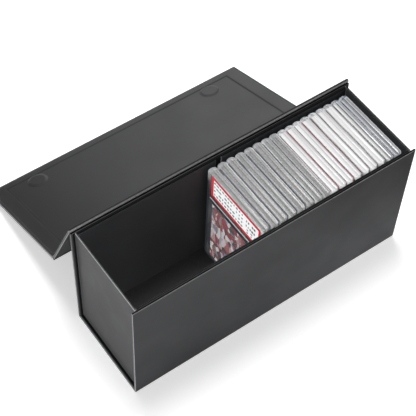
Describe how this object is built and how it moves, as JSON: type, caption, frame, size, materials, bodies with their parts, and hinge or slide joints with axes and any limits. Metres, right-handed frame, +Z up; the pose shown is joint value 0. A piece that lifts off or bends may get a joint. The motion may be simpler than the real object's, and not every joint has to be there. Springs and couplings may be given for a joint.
{
  "type": "graded card storage case",
  "caption": "Long magnetic book-style box, standing open with its lid and flap folded back, holding a row of upright clear card slabs in a lined tray.",
  "frame": {"origin": "middle of the bottom panel's underside, which is the face that the case stands on", "axes": "+X along the case to the right, +Y from the front panel to the back panel and the folded-back lid, +Z up"},
  "size_m": [0.318, 0.2801, 0.1489],
  "materials": {
    "wrap_paper": "matt laminated wrap paper over grey board, near black",
    "liner_paper": "plain black liner paper over thin board",
    "lining_paper": "smooth charcoal lining paper",
    "magnet_nickel": "bright nickel plating",
    "plate_steel": "plain punched steel",
    "slab_clear": "clear moulded plastic, frosted along its welded edges",
    "label_paper": "white printed label with a red border",
    "card_stock": "glossy printed card in a clear sleeve"
  },
  "bodies": {
    "case": {"front_panel": "wrap_paper", "bottom_panel": "wrap_paper", "back_panel": "wrap_paper", "front_fold": "wrap_paper", "back_fold": "wrap_paper", "lid_hinge": "wrap_paper", "catch_plate_left": "plate_steel", "catch_plate_right": "plate_steel", "tray_floor": "liner_paper", "tray_front_wall": "liner_paper", "tray_back_wall": "liner_paper", "tray_left_wall": "wrap_paper", "tray_right_wall": "wrap_paper", "front_liner_left": "liner_paper", "front_liner_right": "liner_paper", "back_liner_left": "liner_paper", "back_liner_right": "liner_paper", "end_liner_left": "liner_paper", "end_liner_right": "liner_paper", "floor_liner": "liner_paper"},
    "lid": {"lid_panel": "wrap_paper", "lid_lining": "lining_paper", "flap_hinge": "wrap_paper"},
    "flap": {"flap_panel": "wrap_paper", "flap_lining": "lining_paper", "flap_magnet_left": "magnet_nickel", "flap_magnet_right": "magnet_nickel"},
    "slab_01": {"slab_01_front_half": "slab_clear", "slab_01_back_half": "slab_clear", "slab_01_label": "label_paper", "slab_01_card": "card_stock"},
    "slab_02": {"slab_02": "slab_clear"},
    "slab_03": {"slab_03": "slab_clear"},
    "slab_04": {"slab_04": "slab_clear"},
    "slab_05": {"slab_05": "slab_clear"},
    "slab_06": {"slab_06": "slab_clear"},
    "slab_07": {"slab_07": "slab_clear"},
    "slab_08": {"slab_08": "slab_clear"},
    "slab_09": {"slab_09": "slab_clear"},
    "slab_10": {"slab_10": "slab_clear"},
    "slab_11": {"slab_11": "slab_clear"},
    "slab_12": {"slab_12": "slab_clear"},
    "slab_13": {"slab_13": "slab_clear"},
    "slab_14": {"slab_14": "slab_clear"},
    "slab_15": {"slab_15": "slab_clear"},
    "slab_16": {"slab_16": "slab_clear"},
    "slab_17": {"slab_17": "slab_clear"}
  },
  "joints": [
    {"name": "lid_hinge_turn", "type": "hinge", "parent": "case", "child": "lid", "pos_m": [0, 0.05135, 0.1471], "axis": [-1, 0, 0], "range_deg": [-247, 0]},
    {"name": "flap_hinge_turn", "type": "hinge", "parent": "lid", "child": "flap", "pos_m": [0, 0.09226, 0.05072], "axis": [-1, 0, 0], "range_deg": [-42.82, 47.17]},
    {"name": "slab_01_lift", "type": "slide", "parent": "case", "child": "slab_01", "axis": [0, 0, 1], "range_m": [0, 0.16]},
    {"name": "slab_02_lift", "type": "slide", "parent": "case", "child": "slab_02", "axis": [0, 0, 1], "range_m": [0, 0.16]},
    {"name": "slab_03_lift", "type": "slide", "parent": "case", "child": "slab_03", "axis": [0, 0, 1], "range_m": [0, 0.16]},
    {"name": "slab_04_lift", "type": "slide", "parent": "case", "child": "slab_04", "axis": [0, 0, 1], "range_m": [0, 0.16]},
    {"name": "slab_05_lift", "type": "slide", "parent": "case", "child": "slab_05", "axis": [0, 0, 1], "range_m": [0, 0.16]},
    {"name": "slab_06_lift", "type": "slide", "parent": "case", "child": "slab_06", "axis": [0, 0, 1], "range_m": [0, 0.16]},
    {"name": "slab_07_lift", "type": "slide", "parent": "case", "child": "slab_07", "axis": [0, 0, 1], "range_m": [0, 0.16]},
    {"name": "slab_08_lift", "type": "slide", "parent": "case", "child": "slab_08", "axis": [0, 0, 1], "range_m": [0, 0.16]},
    {"name": "slab_09_lift", "type": "slide", "parent": "case", "child": "slab_09", "axis": [0, 0, 1], "range_m": [0, 0.16]},
    {"name": "slab_10_lift", "type": "slide", "parent": "case", "child": "slab_10", "axis": [0, 0, 1], "range_m": [0, 0.16]},
    {"name": "slab_11_lift", "type": "slide", "parent": "case", "child": "slab_11", "axis": [0, 0, 1], "range_m": [0, 0.16]},
    {"name": "slab_12_lift", "type": "slide", "parent": "case", "child": "slab_12", "axis": [0, 0, 1], "range_m": [0, 0.16]},
    {"name": "slab_13_lift", "type": "slide", "parent": "case", "child": "slab_13", "axis": [0, 0, 1], "range_m": [0, 0.16]},
    {"name": "slab_14_lift", "type": "slide", "parent": "case", "child": "slab_14", "axis": [0, 0, 1], "range_m": [0, 0.16]},
    {"name": "slab_15_lift", "type": "slide", "parent": "case", "child": "slab_15", "axis": [0, 0, 1], "range_m": [0, 0.16]},
    {"name": "slab_16_lift", "type": "slide", "parent": "case", "child": "slab_16", "axis": [0, 0, 1], "range_m": [0, 0.16]},
    {"name": "slab_17_lift", "type": "slide", "parent": "case", "child": "slab_17", "axis": [0, 0, 1], "range_m": [0, 0.16]}
  ]
}
